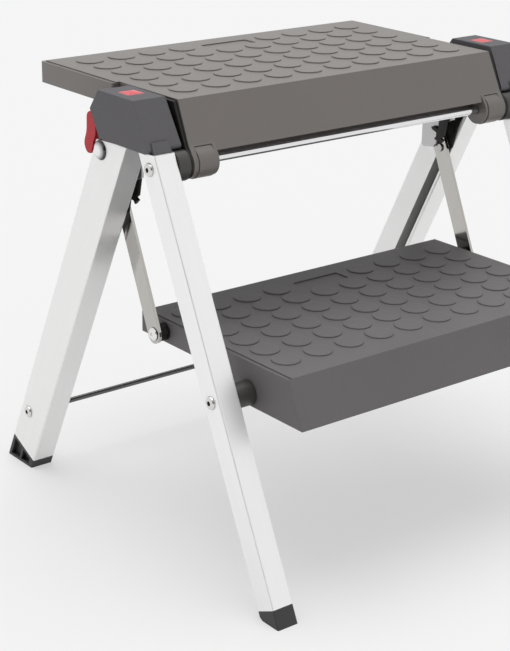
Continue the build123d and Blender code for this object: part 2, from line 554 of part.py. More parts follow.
def rib_cells(half_width, front_wall, rear_wall, rows, floor, ceiling):
    """Rows and columns of pockets, open below, with ribs left between them."""
    pitch_x = (2 * (half_width - TREAD_WALL) + RIB) / RIB_COLUMNS
    pitch_y = (rear_wall - front_wall + RIB) / rows
    middle = (front_wall + rear_wall) / 2
    with Locations((0, middle, floor)):
        with GridLocations(pitch_x, pitch_y, RIB_COLUMNS, rows):
            Box(pitch_x - RIB, pitch_y - RIB, ceiling - floor,
                align=(Align.CENTER, Align.CENTER, Align.MIN), mode=Mode.SUBTRACT)


def tread_top(front, rear, half_width, height):
    """Stepped rim along the rear and side edges."""
    with Locations((0, rear - RIM_WIDE / 2, height)):
        Box(2 * half_width, RIM_WIDE, 2 * RIM_DEEP, mode=Mode.SUBTRACT)
    for side in (-1, 1):
        with Locations((side * (half_width - RIM_WIDE / 2), (front + rear) / 2, height)):
            Box(RIM_WIDE, rear - front, 2 * RIM_DEEP, mode=Mode.SUBTRACT)


# wide rear part
with BuildPart() as deck_rear:
    with BuildSketch(Plane.XY.offset(DECK_UNDER)):
        with Locations((0, (DECK_NOTCH + DECK_REAR) / 2)):
            RectangleRounded(2 * DECK_REAR_HALF, DECK_REAR - DECK_NOTCH, DECK_CORNER)
    extrude(amount=DECK_SLAB)
    rib_cells(DECK_REAR_HALF, DECK_NOTCH + TREAD_WALL, DECK_REAR - TREAD_WALL,
              DECK_RIB_ROWS[1], DECK_UNDER - OVER, STOOL_HEIGHT - TREAD_SKIN)

with BuildPart() as deck:
    with BuildSketch(side_plane(0)):
        outline(DECK_PROFILE)
    extrude(amount=DECK_FRONT_HALF, both=True)
    rib_cells(DECK_FRONT_HALF - DECK_SIDE_DRAFT, DECK_FRONT + TREAD_WALL + 2, DECK_NOTCH,
              DECK_RIB_ROWS[0], DECK_BOX_BASE - OVER, STOOL_HEIGHT - TREAD_SKIN)
    # lip behind the rod, from cheek to cheek
    with BuildSketch(side_plane(0)):
        outline([(HINGE[0] + LIP_BACK, HINGE[1] + LIP_UP),
                 (HINGE[0] + LIP_BACK + RIB, HINGE[1] + LIP_UP),
                 (HINGE[0] + LIP_BACK + RIB, DECK_BOX_BASE + OVER),
                 (HINGE[0] + LIP_BACK, DECK_BOX_BASE + OVER)])
    extrude(amount=CHEEK_INNER + OVER, both=True)
    for side in (-1, 1):
        # solid corner block and the cheeks that hold the hinge rod
        with BuildSketch(side_plane(side * CHEEK_INNER)):
            outline([DECK_PROFILE[1], (front_face_y(DECK_UNDER, DECK_FRONT_BACK), DECK_UNDER),
                     (DECK_SLOPE_FOOT, DECK_UNDER + TREAD_WALL), (DECK_SLOPE_FOOT, DECK_BOX_BASE)])
            with BuildSketch(mode=Mode.ADD):
                with Locations(HINGE):
                    Circle(CHEEK_RADIUS)
                outline([on_front_leg(CLIP_TOP + 2, DECK_FRONT_BACK),
                         on_front_leg(CLIP_TOP + 4, CLIP_DEEP), HINGE])
                make_hull()
        extrude(amount=side * (DECK_FRONT_HALF - CHEEK_INNER))
        # notch for the clip
        with BuildSketch(side_plane(side * (CLIP_INNER - SEAT))):
            outline([on_front_leg(CLIP_TOP, -CLIP_DEEP), on_front_leg(CLIP_TOP, 2 * CLIP_DEEP),
                     on_front_leg(CLIP_TOP - 2 * CLIP_DEEP, 2 * CLIP_DEEP),
                     on_front_leg(CLIP_TOP - 2 * CLIP_DEEP, -CLIP_DEEP)])
        extrude(amount=side * (CLIP_WIDE + 2 * SEAT), mode=Mode.SUBTRACT)
        # draft on the side
        with BuildSketch(Plane.XZ.offset(-DECK_NOTCH - OVER)):
            outline([(side * DECK_FRONT_HALF, DECK_BOX_BASE),
                     (side * (DECK_FRONT_HALF + OVER), STOOL_HEIGHT + OVER),
                     (side * (DECK_FRONT_HALF - DECK_SIDE_DRAFT), STOOL_HEIGHT + OVER)])
        extrude(amount=DECK_DEPTH, mode=Mode.SUBTRACT)
    shaft(HINGE, ROD_RADIUS + RUNNING, -DECK_FRONT_HALF - OVER, DECK_FRONT_HALF + OVER, Mode.SUBTRACT)
    add(deck_rear.part)
    tread_top(DECK_NOTCH, DECK_REAR, DECK_REAR_HALF, STOOL_HEIGHT)
    with BuildSketch(Plane.XY.offset(STOOL_HEIGHT - BADGE_DEEP)):
        with Locations((0, DECK_REAR - DECK_BADGE_BACK)):
            RectangleRounded(*BADGE_SIZE, BADGE_CORNER)
    extrude(amount=2 * BADGE_DEEP, mode=Mode.SUBTRACT)
save(deck.part, "deck")

# Arm on each side of the deck, from its top down to a round end on the hinge rod.
ARM_FRONT = DECK_FRONT_BACK + ARM_INSET
ARM_TOP = STOOL_HEIGHT - ARM_INSET

with BuildPart() as hinge_arm:
    with BuildSketch(side_plane(DECK_FRONT_HALF)):
        with Locations(HINGE):
            Circle(CHEEK_RADIUS)
        outline([on_front_leg(CLIP_TOP, ARM_FRONT), on_front_leg(CLIP_TOP, ARM_BACK + OVER), HINGE])
        make_hull()
        outline([on_front_leg(HINGE_UP, ARM_FRONT), (front_face_y(ARM_TOP, ARM_FRONT), ARM_TOP),
                 (front_face_y(ARM_TOP, ARM_BACK), ARM_TOP), on_front_leg(HINGE_UP, ARM_BACK)])
    extrude(amount=ARM_THICK)
    shaft(HINGE, ROD_RADIUS + RUNNING, DECK_FRONT_HALF - OVER, ARM_OUTER + OVER, Mode.SUBTRACT)
save_pair(hinge_arm.part, "hinge_arm")

# Clip in each notch of the deck's front edge, wrapped round the hinge rod.
with BuildPart() as hinge_clip:
    with BuildSketch(side_plane(CLIP_INNER)):
        with Locations(HINGE):
            Circle(KNUCKLE_RADIUS)
        outline([on_front_leg(CLIP_TOP - SEAT, DECK_FRONT_BACK + SEAT),
                 on_front_leg(CLIP_TOP - SEAT, CLIP_DEEP), HINGE])
        make_hull()
        # flat top that seats in the deck's notch
        outline([on_front_leg(CLIP_TOP - SEAT, -CLIP_DEEP), on_front_leg(CLIP_TOP - SEAT, 2 * CLIP_DEEP),
                 on_front_leg(CLIP_TOP + CLIP_DEEP, 2 * CLIP_DEEP),
                 on_front_leg(CLIP_TOP + CLIP_DEEP, -CLIP_DEEP)], Mode.SUBTRACT)
    extrude(amount=CLIP_WIDE)
    shaft(HINGE, ROD_RADIUS + RUNNING, CLIP_INNER - OVER, CLIP_OUTER + OVER, Mode.SUBTRACT)
save_pair(hinge_clip.part, "hinge_clip")

# ---------------------------------------------------------------- latch brackets under the deck
with BuildPart() as latch_bracket:
    with BuildSketch(side_plane(BRACKET_INNER)):
        outline(BRACKET_PROFILE)
        fillet(vertices().sort_by(Axis.X)[-2:].sort_by(Axis.Y)[0], BRACKET_CORNER)
        with Locations(SLOT_PIN):
            Circle(PIN_HEAD_RADIUS + BRACKET_SEAT, mode=Mode.SUBTRACT)
    extrude(amount=BRACKET_THICK)
    with BuildSketch(side_plane(BRACKET_INNER)):
        outline([(BRACKET_FRONT, DECK_UNDER - BRACKET_THICK), (BRACKET_REAR, DECK_UNDER - BRACKET_THICK),
                 (BRACKET_REAR, DECK_UNDER), (BRACKET_FRONT, DECK_UNDER)])
    extrude(amount=-BRACKET_FLANGE)
    shaft(HOOK_PIVOT, HOOK_PIN_RADIUS, BRACKET_INNER - OVER, BRACKET_OUTER + OVER, Mode.SUBTRACT)
save_pair(latch_bracket.part, "latch_bracket")

with BuildPart() as latch_hook:
    with BuildSketch(side_plane(HOOK_INNER)):
        outline(HOOK_PROFILE)
        with Locations(HOOK_PIVOT):
            Circle(HOOK_EYE)
    extrude(amount=HOOK_THICK)
    shaft(HOOK_PIVOT, HOOK_PIN_RADIUS + RUNNING, HOOK_INNER - OVER, BRACKET_INNER, Mode.SUBTRACT)
save_pair(latch_hook.part, "latch_hook")

with BuildPart() as hook_pin:
    shaft(HOOK_PIVOT, HOOK_PIN_RADIUS, HOOK_INNER - HOOK_PIN_TALL, BRACKET_OUTER)
    shaft(HOOK_PIVOT, HOOK_PIN_HEAD, HOOK_INNER - SEAT - HOOK_PIN_TALL, HOOK_INNER - SEAT)
save_pair(hook_pin.part, "hook_pin")

# ---------------------------------------------------------------- lower step
STEP_PROFILE = [(STEP_FRONT, STEP_TOP), (STEP_FRONT - STEP_BOX * tan(radians(FRONT_LEAN)), STEP_BASE),
                (STEP_BOX_REAR - STEP_BOX_SLOPE, STEP_BASE), (STEP_BOX_REAR, STEP_UNDER),
                (STEP_REAR, STEP_UNDER), (STEP_REAR, STEP_TOP)]

with BuildPart() as lower_step:
    with BuildSketch(side_plane(0)):
        outline(STEP_PROFILE)
    extrude(amount=STEP_HALF, both=True)
    rib_cells(STEP_HALF, STEP_FRONT + TREAD_WALL, STEP_REAR - TREAD_WALL, STEP_RIB_ROWS, STEP_BASE - OVER,
              STEP_TOP - TREAD_SKIN)
    # bosses that take the pivots, inside the side walls
    for side in (-1, 1):
        for centre, radius in zip((STEP_PIVOT, LINK_PIVOT), STEP_BOSS):
            with Locations(Location((side * (STEP_HALF - TREAD_WALL / 2), *centre), (0, -90 * side, 0))):
                Cylinder(radius, STEP_BOSS_LONG, align=(Align.CENTER, Align.CENTER, Align.MIN))
                Cylinder(THREAD_RADIUS + RUNNING, 3 * STEP_BOSS_LONG, mode=Mode.SUBTRACT)
    tread_top(STEP_FRONT, STEP_REAR, STEP_HALF, STEP_TOP)
    with BuildSketch(Plane.XY.offset(STEP_TOP - BADGE_DEEP)):
        with Locations((0, STEP_REAR - STEP_BADGE_BACK)):
            RectangleRounded(*BADGE_SIZE, BADGE_CORNER)
    extrude(amount=2 * BADGE_DEEP, mode=Mode.SUBTRACT)
save(lower_step.part, "lower_step")

with BuildPart() as step_bolt:
    bolt(STEP_PIVOT, STEP_HALF - BOLT_HOLD)
save_pair(step_bolt.part, "step_bolt")

with BuildPart() as step_spacer:
    shaft(STEP_PIVOT, STEP_SPACER_RADIUS, STEP_HALF + SEAT, FRONT_INNER)
    shaft(STEP_PIVOT, THREAD_RADIUS, STEP_HALF, FRONT_INNER + OVER, Mode.SUBTRACT)
save_pair(step_spacer.part, "step_spacer")

# ---------------------------------------------------------------- support links
LINK_OUTER = LINK_INNER + LINK_THICK
with BuildPart() as link:
    with BuildSketch(side_plane(LINK_INNER)):
        capsule(LINK_PIVOT, LINK_END, LINK_WIDE / 2)
    extrude(amount=LINK_THICK)
    shaft(LINK_PIVOT, SHAFT_RADIUS + RUNNING, LINK_INNER - OVER, LINK_OUTER + OVER, Mode.SUBTRACT)
    shaft(SLOT_PIN, PIN_RADIUS, LINK_INNER - OVER, LINK_OUTER + OVER, Mode.SUBTRACT)
save_pair(link.part, "link")

with BuildPart() as slot_pin:
    shaft(SLOT_PIN, PIN_RADIUS, LINK_INNER, LINK_OUTER)
    shaft(SLOT_PIN, PIN_HEAD_RADIUS, LINK_INNER - PIN_HEAD_TALL, LINK_INNER)
save_pair(slot_pin.part, "slot_pin")

with BuildPart() as link_spacer:
    shaft(LINK_PIVOT, LINK_SPACER_RADIUS, STEP_HALF, LINK_INNER - SEAT)
    shaft(LINK_PIVOT, SHAFT_RADIUS, STEP_HALF - OVER, LINK_INNER + OVER, Mode.SUBTRACT)
save_pair(link_spacer.part, "link_spacer")

with BuildPart() as link_rivet:
    shaft(LINK_PIVOT, SHAFT_RADIUS, STEP_HALF, LINK_OUTER + SEAT)
    shaft(LINK_PIVOT, THREAD_RADIUS, STEP_HALF - BOLT_HOLD, STEP_HALF)
    shaft(LINK_PIVOT, RIVET_HEAD_RADIUS, LINK_OUTER + SEAT, LINK_OUTER + SEAT + RIVET_HEAD_TALL)
    chamfer(link_rivet.edges().filter_by(GeomType.CIRCLE).sort_by(Axis.X)[-1], RIVET_HEAD_TALL - HEAD_EDGE)
save_pair(link_rivet.part, "link_rivet")

# ---------------------------------------------------------------- rear crossbar
with BuildPart() as crossbar:
    shaft(CROSSBAR, CROSSBAR_RADIUS, -FRAME_HALF, FRAME_HALF)
save(crossbar.part, "crossbar")

with BuildPart() as crossbar_nut:
    bolt_head(CROSSBAR)
save_pair(crossbar_nut.part, "crossbar_nut")
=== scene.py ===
from math import asin, cos, pi, radians, sin

import bmesh
import bpy
from mathutils import Euler, Matrix, Vector


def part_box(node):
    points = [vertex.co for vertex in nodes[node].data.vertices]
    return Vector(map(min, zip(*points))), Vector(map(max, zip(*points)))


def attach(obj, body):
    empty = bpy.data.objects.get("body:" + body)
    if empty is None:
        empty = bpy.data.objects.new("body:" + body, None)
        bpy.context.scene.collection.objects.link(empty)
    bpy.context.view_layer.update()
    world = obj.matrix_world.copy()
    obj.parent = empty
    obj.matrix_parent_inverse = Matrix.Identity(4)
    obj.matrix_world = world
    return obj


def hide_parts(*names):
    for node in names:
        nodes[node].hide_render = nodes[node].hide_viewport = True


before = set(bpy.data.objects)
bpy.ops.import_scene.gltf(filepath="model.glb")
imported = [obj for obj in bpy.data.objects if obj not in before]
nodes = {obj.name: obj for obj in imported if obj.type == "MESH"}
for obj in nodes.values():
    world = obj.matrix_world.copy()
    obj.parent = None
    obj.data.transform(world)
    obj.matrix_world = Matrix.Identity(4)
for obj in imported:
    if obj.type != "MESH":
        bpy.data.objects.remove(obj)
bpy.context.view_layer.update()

# ------------------------------------------------------------------ studio
# A pale floor under an even sky, with one broad soft light from almost straight above.
# The camera stands at chest height, to the left of someone who is about to climb.
CAMERA_PLACE = (-1.0627, -1.2244, 0.7692)
CAMERA_TURN = (radians(69.6), 0, radians(-38.59))
CAMERA_ROLL = radians(0.82)
LENS = 90.86
BACKGROUND = (0.896, 0.896, 0.896)
SKY_LEVEL = 0.54                 # the sky's own light on the object; seen or mirrored, it is at full level
SUN_FROM = (0.06, 0.15, 1.0)
SUN_POWER = 1.75
SUN_SPREAD = radians(56)
DARK_END = (-0.62, -0.72, 0.30)  # unlit end of the room, behind the camera, that only metal mirrors
DARK_START = 0.80                # cosine of the angle off its middle where it starts, and where it is full
DARK_FULL = 0.95
DARK_DEPTH = 0.85
FLOOR_HALF = 30.0
FLOOR_COLOUR = (0.91, 0.91, 0.91)
FLOOR_FILL = 0.55                # part of the floor's seen tone that no shadow darkens
FLOOR_MOTTLE = 3.0
FLOOR_UNEVEN = 0.005
FLOOR_ROUGHNESS = 0.9


def shader_node(tree, kind, inputs=None, **settings):
    """A new node in the tree. An input's value is a plain value or another node's output."""
    made = tree.nodes.new("ShaderNode" + kind)
    for name, value in settings.items():
        setattr(made, name, value)
    for name, value in (inputs or {}).items():
        if isinstance(value, bpy.types.NodeSocket):
            tree.links.new(value, made.inputs[name])
        else:
            made.inputs[name].default_value = value
    return made


def in_scene(name, data):
    """A new object in the scene."""
    made = bpy.data.objects.new(name, data)
    bpy.context.scene.collection.objects.link(made)
    return made


def seen_or_mirrored(tree, rays):
    """1 where the camera or a mirroring surface looks, 0 for the light that falls on things."""
    either = shader_node(tree, "Math", {0: rays.outputs["Is Camera Ray"], 1: rays.outputs["Is Glossy Ray"]},
                         operation="ADD", use_clamp=True)
    return either.outputs[0]


camera_data = bpy.data.cameras.new("camera")
camera_data.lens = LENS
camera = in_scene("camera", camera_data)
camera.matrix_world = (Matrix.Translation(CAMERA_PLACE) @ Euler(CAMERA_TURN).to_matrix().to_4x4()
                       @ Matrix.Rotation(CAMERA_ROLL, 4, "Z"))
bpy.context.scene.camera = camera
bpy.context.scene.view_settings.view_transform = "Standard"

sun_data = bpy.data.lights.new("soft_sun", "SUN")
sun_data.energy = SUN_POWER
sun_data.angle = SUN_SPREAD
sun = in_scene("soft_sun", sun_data)
sun.rotation_euler = Vector(SUN_FROM).to_track_quat("Z", "Y").to_euler()

world = bpy.data.worlds.new("studio")
bpy.context.scene.world = world
world.use_nodes = True
tree = world.node_tree
tree.nodes.clear()
rays = shader_node(tree, "LightPath")
level = shader_node(tree, "MapRange", {"Value": seen_or_mirrored(tree, rays), "To Min": SKY_LEVEL})
ahead = shader_node(tree, "TexCoord")
turn = shader_node(tree, "VectorMath", {0: ahead.outputs["Generated"], 1: DARK_END},
                   operation="DOT_PRODUCT")
dark = shader_node(tree, "MapRange", {"Value": turn.outputs["Value"], "From Min": DARK_START,
                                      "From Max": DARK_FULL, "To Max": DARK_DEPTH},
                   interpolation_type="SMOOTHSTEP")
mirrored = shader_node(tree, "Math", {0: dark.outputs[0], 1: rays.outputs["Is Glossy Ray"]},
                       operation="MULTIPLY")
lit = shader_node(tree, "Math", {0: 1.0, 1: mirrored.outputs[0]}, operation="SUBTRACT")
level = shader_node(tree, "Math", {0: level.outputs[0], 1: lit.outputs[0]}, operation="MULTIPLY")
sky = shader_node(tree, "Background", {"Color": BACKGROUND + (1,), "Strength": level.outputs[0]})
shader_node(tree, "OutputWorld", {"Surface": sky.outputs[0]})

floor_mesh = bpy.data.meshes.new("floor")
floor_mesh.from_pydata([(-FLOOR_HALF, -FLOOR_HALF, 0), (FLOOR_HALF, -FLOOR_HALF, 0),
                        (FLOOR_HALF, FLOOR_HALF, 0), (-FLOOR_HALF, FLOOR_HALF, 0)], [], [(0, 1, 2, 3)])
floor = in_scene("floor", floor_mesh)
floor_paint = bpy.data.materials.new("floor_paint")
floor_paint.use_nodes = True
tree = floor_paint.node_tree
paint = tree.nodes["Principled BSDF"]
seen = seen_or_mirrored(tree, shader_node(tree, "LightPath"))
mottle = shader_node(tree, "TexNoise", {"Scale": FLOOR_MOTTLE, "Detail": 3.0})
cloud = shader_node(tree, "MapRange", {"Value": mottle.outputs["Fac"], "To Min": 1 - FLOOR_UNEVEN,
                                       "To Max": 1 + FLOOR_UNEVEN})
share = shader_node(tree, "MapRange", {"Value": seen, "To Min": 1.0, "To Max": 1 - FLOOR_FILL})
level = shader_node(tree, "Math", {0: cloud.outputs[0], 1: share.outputs[0]}, operation="MULTIPLY")
tone = shader_node(tree, "VectorMath", {0: FLOOR_COLOUR, "Scale": level.outputs[0]}, operation="SCALE")
tree.links.new(tone.outputs[0], paint.inputs["Base Color"])
fill = shader_node(tree, "Math", {0: seen, 1: FLOOR_FILL}, operation="MULTIPLY")
tree.links.new(fill.outputs[0], paint.inputs["Emission Strength"])
paint.inputs["Emission Color"].default_value = BACKGROUND + (1,)
paint.inputs["Roughness"].default_value = FLOOR_ROUGHNESS
paint.inputs["Specular IOR Level"].default_value = 0.0
floor_mesh.materials.append(floor_paint)

# ------------------------------------------------------------------ front legs
# Two box tubes of extruded aluminium, cut to length and satin anodised to near white. They lean back
# from toe to deck, with faint die lines along them and barely broken corners.
FRONT_LEAN = radians(25.3)
FRONT_ALUMINIUM = (0.98, 0.98, 0.98)
TUBE_ROUGHNESS = 0.33
TUBE_CONTRAST = 0.015
TUBE_EDGE = 0.00012
ANODISED = 0.6             # share of bare metal in the look; the rest is the milky oxide layer
EDGE_START = 0.99          # cosine of the turn across an edge where rubbing starts, and where it is full
EDGE_FULL = 0.75
RUBBED_SMOOTHER = 0.8
DIE_LINES = 900.0
DIE_STRETCH = 0.012
DIE_RELIEF = 0.00001
DIE_STRENGTH = 0.25
CLOUD_SCALE = 22.0
OPEN_SHARE = 0.8           # share of open air where a corner starts to darken with dust and painted shade, and where it is full
SHUT_SHARE = 0.35
# the dark tone of dust and painted shade in shut corners
DUST_AND_SHADE_COLOUR = (0.12, 0.11, 0.10)
NOISE_LOW = 0.3            # where nearly all of a noise's values lie
NOISE_HIGH = 0.7


def new_group(name, inputs, outputs):
    """Empty shader node group with the given sockets, and its input and output nodes."""
    group = bpy.data.node_groups.new(name, "ShaderNodeTree")
    for direction, sockets in (("INPUT", inputs), ("OUTPUT", outputs)):
        for socket, kind in sockets.items():
            group.interface.new_socket(socket, in_out=direction, socket_type="NodeSocket" + kind)
    return group, group.nodes.new("NodeGroupInput"), group.nodes.new("NodeGroupOutput")


def noise_span(tree, noise, low, high):
    """A noise stretched so that its usual values run from low to high."""
    span = shader_node(tree, "MapRange", {"Value": noise, "From Min": NOISE_LOW, "From Max": NOISE_HIGH,
                                          "To Min": low, "To Max": high})
    return span.outputs[0]


# edges broken by tumbling and handling: a mask along sharp edges and a rounded normal
broken_edge, given, result = new_group("broken_edge", {"Radius": "Float"},
                                       {"Edge": "Float", "Normal": "Vector"})
rounded = shader_node(broken_edge, "Bevel", {"Radius": given.outputs["Radius"]}, samples=6)
face = shader_node(broken_edge, "NewGeometry")
turn = shader_node(broken_edge, "VectorMath", {0: rounded.outputs[0], 1: face.outputs["Normal"]},
                   operation="DOT_PRODUCT")
edge = shader_node(broken_edge, "MapRange", {"Value": turn.outputs["Value"], "From Min": EDGE_START,
                                             "From Max": EDGE_FULL})
broken_edge.links.new(edge.outputs[0], result.inputs["Edge"])
broken_edge.links.new(rounded.outputs[0], result.inputs["Normal"])

# lines of a drawn or extruded bar, stretched along its length, and a broad cloud
die_lines, given, result = new_group("die_lines", {"Lean": "Vector"}, {"Line": "Float", "Cloud": "Float"})
place = shader_node(die_lines, "TexCoord")
along = shader_node(die_lines, "Mapping", {"Vector": place.outputs["Object"],
                                           "Rotation": given.outputs["Lean"]}, vector_type="TEXTURE")
stretched = shader_node(die_lines, "VectorMath", {0: along.outputs[0], 1: (1, 1, DIE_STRETCH)},
                        operation="MULTIPLY")
line = shader_node(die_lines, "TexNoise", {"Vector": stretched.outputs[0], "Scale": DIE_LINES,
                                           "Detail": 4.0, "Roughness": 0.6})
cloud = shader_node(die_lines, "TexNoise", {"Vector": along.outputs[0], "Scale": CLOUD_SCALE, "Detail": 3.0})
die_lines.links.new(line.outputs["Fac"], result.inputs["Line"])
die_lines.links.new(cloud.outputs["Fac"], result.inputs["Cloud"])

# dust and painted shade held in narrow corners, as a mask
corner_dust_and_shade, given, result = new_group("corner_dust_and_shade", {"Reach": "Float"}, {"Dust and shade": "Float"})
shut_in = shader_node(corner_dust_and_shade, "AmbientOcclusion", {"Distance": given.outputs["Reach"]}, samples=16)
dust_and_shade = shader_node(corner_dust_and_shade, "MapRange", {"Value": shut_in.outputs["AO"], "From Min": OPEN_SHARE,
                                             "From Max": SHUT_SHARE})
corner_dust_and_shade.links.new(dust_and_shade.outputs[0], result.inputs["Dust and shade"])


def placed_group(tree, group, values):
    """A node group set into a material with its own values."""
    made = tree.nodes.new("ShaderNodeGroup")
    made.node_tree = group
    for name, value in values.items():
        made.inputs[name].default_value = value
    return made


def drawn_metal(name, colour, lean, roughness, contrast=0.03, spread=0.08, reach=0.004, metallic=1.0,
                radius=0.0004):
    """Metal with fine lines along the piece: its colour follows the lines, its roughness a faint cloud.

    Places shut in within the reach are darkened with dust and painted shade. The radius is that of its broken
    edges."""
    material = bpy.data.materials.new(name)
    material.use_nodes = True
    tree = material.node_tree
    shader = tree.nodes["Principled BSDF"]
    shader.inputs["Metallic"].default_value = metallic
    grain = placed_group(tree, die_lines, {"Lean": (lean, 0, 0)})
    edge = placed_group(tree, broken_edge, {"Radius": radius})
    shade = noise_span(tree, grain.outputs["Line"], 1 - contrast, 1 + contrast)
    toned = shader_node(tree, "VectorMath", {0: colour, "Scale": shade}, operation="SCALE")
    corner = placed_group(tree, corner_dust_and_shade, {"Reach": reach})
    # painted shade: shut corners are mixed towards the dark tone, with dust
    dusted_and_shaded = shader_node(tree, "MixRGB", {"Fac": corner.outputs["Dust and shade"], "Color1": toned.outputs[0],
                                        "Color2": DUST_AND_SHADE_COLOUR + (1,)})
    tree.links.new(dusted_and_shaded.outputs[0], shader.inputs["Base Color"])
    clouded = noise_span(tree, grain.outputs["Cloud"], roughness - spread / 2, roughness + spread / 2)
    rough = shader_node(tree, "MixRGB", {"Fac": edge.outputs["Edge"], "Color1": clouded,
                                         "Color2": (roughness * RUBBED_SMOOTHER,) * 3 + (1,)})
    tree.links.new(rough.outputs[0], shader.inputs["Roughness"])
    bump = shader_node(tree, "Bump", {"Height": grain.outputs["Line"], "Distance": DIE_RELIEF,
                                      "Strength": DIE_STRENGTH, "Normal": edge.outputs["Normal"]})
    tree.links.new(bump.outputs[0], shader.inputs["Normal"])
    return material


def finish_with(material, *names):
    """Gives CAD pieces their finish."""
    for name in names:
        mesh = nodes[name].data
        mesh.materials.clear()
        mesh.materials.append(material)


def both(name):
    """The names of a piece's left and right halves."""
    return f"{name}_left", f"{name}_right"


finish_with(drawn_metal("front_tube", FRONT_ALUMINIUM, -FRONT_LEAN, TUBE_ROUGHNESS, contrast=TUBE_CONTRAST,
                        metallic=ANODISED, radius=TUBE_EDGE), *both("front_leg"))

# ------------------------------------------------------------------ rear legs
# Two deeper box tubes of the same anodised aluminium, a shade greyer as painted shade, with an open track
# along the inner side. They lean forward, and their upper ends turn on studs inside the caps.
REAR_LEAN = radians(25.8)
# the front pair's aluminium painted greyer: painted shade, as their front faces mirror the shaded floor
REAR_ALUMINIUM_SHADED = (0.93, 0.93, 0.925)
REAR_ROUGHNESS = 0.34
TRACK_REACH = 0.014        # the track's depth, all of which is darkened with dust and painted shade
finish_with(drawn_metal("rear_tube", REAR_ALUMINIUM_SHADED, REAR_LEAN, REAR_ROUGHNESS, contrast=TUBE_CONTRAST,
                        reach=TRACK_REACH, metallic=ANODISED, radius=TUBE_EDGE), *both("rear_leg"))

# ------------------------------------------------------------------ feet
# Moulded rubbery plugs, near black and matt, pressed into the lower ends of the tubes.
# The rear pair has two open pockets in its outer side.
FOOT_RUBBER = (0.040, 0.037, 0.038)
FOOT_ROUGHNESS = 0.55
FOOT_GRAIN = 900.0
FOOT_GRAIN_DEPTH = 0.00008
SPECKLE_SCALE = 700.0
MOTTLE_SCALE = 9.0
TONE_SPREAD = 0.04
MATT_SPREAD = 0.04
EDGE_WEAR = 0.2            # share of the paler tone at a rubbed edge
RUBBED_TONE = 1.4
RUBBED_LIFT = 0.01
CORNER_SHADE = 0.75        # share of the deep tone in a shut corner, which is dust and painted shade
DEEP_TONE = 0.35
SKIN_STRENGTH = 0.5

# moulded skin: fine eroded pits, a speckle and a broad mottle
moulded_grain, given, result = new_group(
    "moulded_grain", {"Colour": "Color", "Grain": "Float", "Matt": "Float"},
    {"Colour": "Color", "Roughness": "Float", "Height": "Float"})
place = shader_node(moulded_grain, "TexCoord")
pits = shader_node(moulded_grain, "TexVoronoi", {"Vector": place.outputs["Object"],
                                                 "Scale": given.outputs["Grain"]}, feature="SMOOTH_F1")
speckle = shader_node(moulded_grain, "TexNoise", {"Vector": place.outputs["Object"],
                                                  "Scale": SPECKLE_SCALE, "Detail": 5.0})
mottle = shader_node(moulded_grain, "TexNoise", {"Vector": place.outputs["Object"],
                                                 "Scale": MOTTLE_SCALE, "Detail": 4.0})
broad = noise_span(moulded_grain, mottle.outputs["Fac"], 1 - TONE_SPREAD, 1 + TONE_SPREAD)
fine = noise_span(moulded_grain, speckle.outputs["Fac"], 1 - TONE_SPREAD, 1 + TONE_SPREAD)
shade = shader_node(moulded_grain, "Math", {0: broad, 1: fine}, operation="MULTIPLY")
toned = shader_node(moulded_grain, "VectorMath", {0: given.outputs["Colour"], "Scale": shade.outputs[0]},
                    operation="SCALE")
matt = noise_span(moulded_grain, speckle.outputs["Fac"], -MATT_SPREAD, MATT_SPREAD)
rough = shader_node(moulded_grain, "Math", {0: matt, 1: given.outputs["Matt"]}, operation="ADD")
height = shader_node(moulded_grain, "Math", {0: pits.outputs["Distance"], 1: speckle.outputs["Fac"]},
                     operation="ADD")
moulded_grain.links.new(toned.outputs[0], result.inputs["Colour"])
moulded_grain.links.new(rough.outputs[0], result.inputs["Roughness"])
moulded_grain.links.new(height.outputs[0], result.inputs["Height"])


def moulded(name, colour, roughness, grain=1500.0, depth=0.00005, radius=0.0006, shine=0.5, reach=0.006):
    """Moulded plastic or rubber: grain in colour, roughness and bump, lighter rubbed edges, corners darkened
    with dust and painted shade.
    """
    material = bpy.data.materials.new(name)
    material.use_nodes = True
    tree = material.node_tree
    shader = tree.nodes["Principled BSDF"]
    shader.inputs["Specular IOR Level"].default_value = shine
    skin = placed_group(tree, moulded_grain, {"Colour": colour + (1,), "Grain": grain, "Matt": roughness})
    edge = placed_group(tree, broken_edge, {"Radius": radius})
    corner = placed_group(tree, corner_dust_and_shade, {"Reach": reach})
    rub = shader_node(tree, "Math", {0: edge.outputs["Edge"], 1: EDGE_WEAR}, operation="MULTIPLY")
    pale = tuple(min(1.0, part * RUBBED_TONE + RUBBED_LIFT) for part in colour) + (1,)
    rubbed = shader_node(tree, "MixRGB", {"Fac": rub.outputs[0], "Color1": skin.outputs["Colour"],
                                          "Color2": pale})
    # painted shade: shut corners are mixed towards a deep tone, with dust
    shut = shader_node(tree, "Math", {0: corner.outputs["Dust and shade"], 1: CORNER_SHADE}, operation="MULTIPLY")
    deep = tuple(part * DEEP_TONE for part in colour) + (1,)
    toned = shader_node(tree, "MixRGB", {"Fac": shut.outputs[0], "Color1": rubbed.outputs[0],
                                         "Color2": deep})
    tree.links.new(toned.outputs[0], shader.inputs["Base Color"])
    tree.links.new(skin.outputs["Roughness"], shader.inputs["Roughness"])
    bump = shader_node(tree, "Bump", {"Height": skin.outputs["Height"], "Distance": depth,
                                      "Strength": SKIN_STRENGTH, "Normal": edge.outputs["Normal"]})
    tree.links.new(bump.outputs[0], shader.inputs["Normal"])
    return material


finish_with(moulded("foot_rubber", FOOT_RUBBER, FOOT_ROUGHNESS, grain=FOOT_GRAIN, depth=FOOT_GRAIN_DEPTH),
            *both("front_foot"), *both("rear_foot"))

